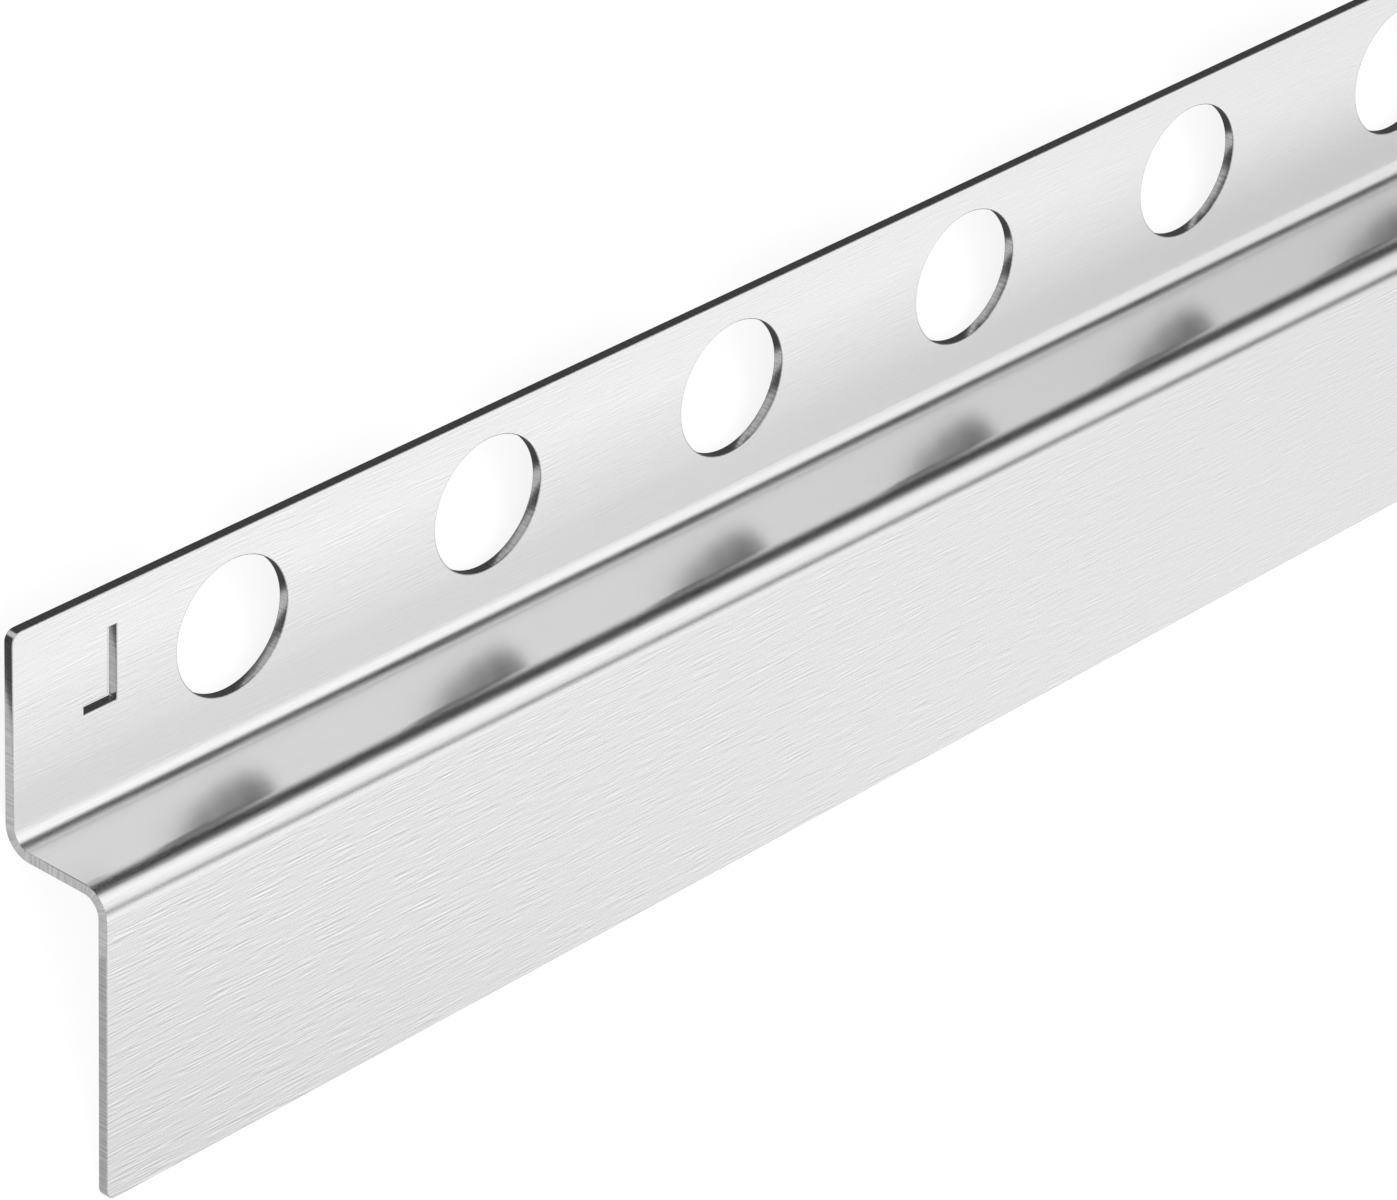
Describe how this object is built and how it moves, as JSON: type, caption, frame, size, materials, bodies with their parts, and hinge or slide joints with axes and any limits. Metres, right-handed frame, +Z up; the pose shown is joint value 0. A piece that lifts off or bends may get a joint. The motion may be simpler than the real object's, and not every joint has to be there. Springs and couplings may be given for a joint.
{
  "type": "shower slope wedge profile",
  "caption": "Z-folded steel strip for shower walls: a perforated flange beds in the adhesive behind the tiles and a tapering flange covers the wedge above the sloping floor.",
  "frame": {"origin": "middle of the outline on the floor, with the profile lying on its wall side", "axes": "+X from the tall end to the low end, +Y towards the edge of the perforated flange, +Z up with the room side of the profile on top"},
  "size_m": [0.98, 0.0504, 0.0101],
  "materials": {
    "brushed_stainless": "fine brushed along the length"
  },
  "bodies": {
    "root": {"wedge_profile": "brushed_stainless"}
  },
  "joints": []
}
